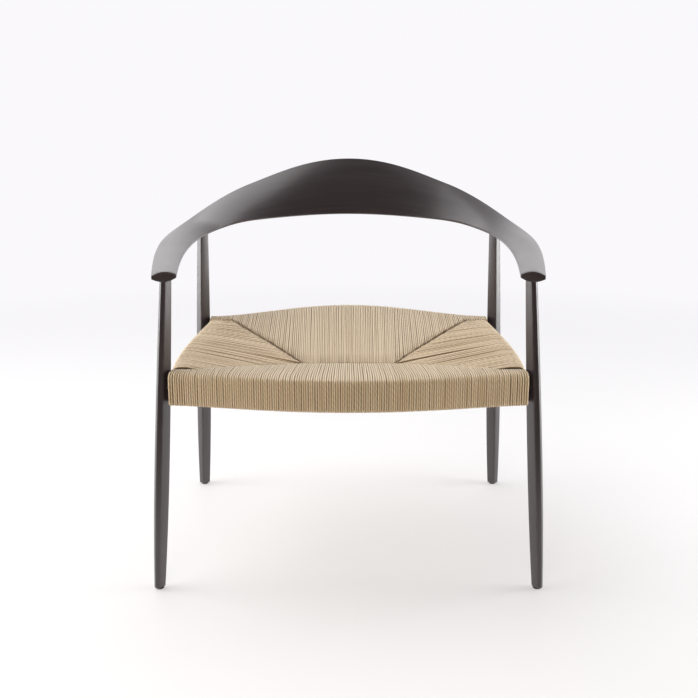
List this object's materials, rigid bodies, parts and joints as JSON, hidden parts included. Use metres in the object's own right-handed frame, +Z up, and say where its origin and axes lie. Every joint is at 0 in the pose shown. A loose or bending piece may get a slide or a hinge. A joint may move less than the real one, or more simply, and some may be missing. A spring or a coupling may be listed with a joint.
{
  "type": "lounge armchair",
  "caption": "Low wooden lounge armchair with a one-piece-looking horseshoe top rail on four tapered legs and a woven paper cord seat.",
  "frame": {"origin": "on the floor under the middle of the chair's plan box", "axes": "+Z up, -Y towards the front of the chair, +X to the right of a person looking at its front"},
  "size_m": [0.7288, 0.6916, 0.7056],
  "materials": {
    "stained_wood": "dark stain under satin lacquer",
    "dowel_wood": "bare beech dowels",
    "glide_plastic": "nail-on nylon glides",
    "paper_cord": "natural twisted paper cord",
    "packing_card": "grey-brown card and cord offcuts",
    "tack_steel": "plain steel tacks"
  },
  "bodies": {
    "root": {"left_arm": "stained_wood", "right_arm": "stained_wood", "backrest": "stained_wood", "front_left_leg": "stained_wood", "front_right_leg": "stained_wood", "rear_left_leg": "stained_wood", "rear_right_leg": "stained_wood", "front_rail": "stained_wood", "rear_rail": "stained_wood", "left_side_rail": "stained_wood", "right_side_rail": "stained_wood", "left_splice_dowels": "dowel_wood", "right_splice_dowels": "dowel_wood", "front_left_glide": "glide_plastic", "front_right_glide": "glide_plastic", "rear_left_glide": "glide_plastic", "rear_right_glide": "glide_plastic", "front_cord_field": "paper_cord", "rear_cord_field": "paper_cord", "left_cord_field": "paper_cord", "right_cord_field": "paper_cord", "front_packing": "packing_card", "rear_packing": "packing_card", "left_packing": "packing_card", "right_packing": "packing_card", "cord_tacks": "tack_steel"}
  },
  "joints": []
}
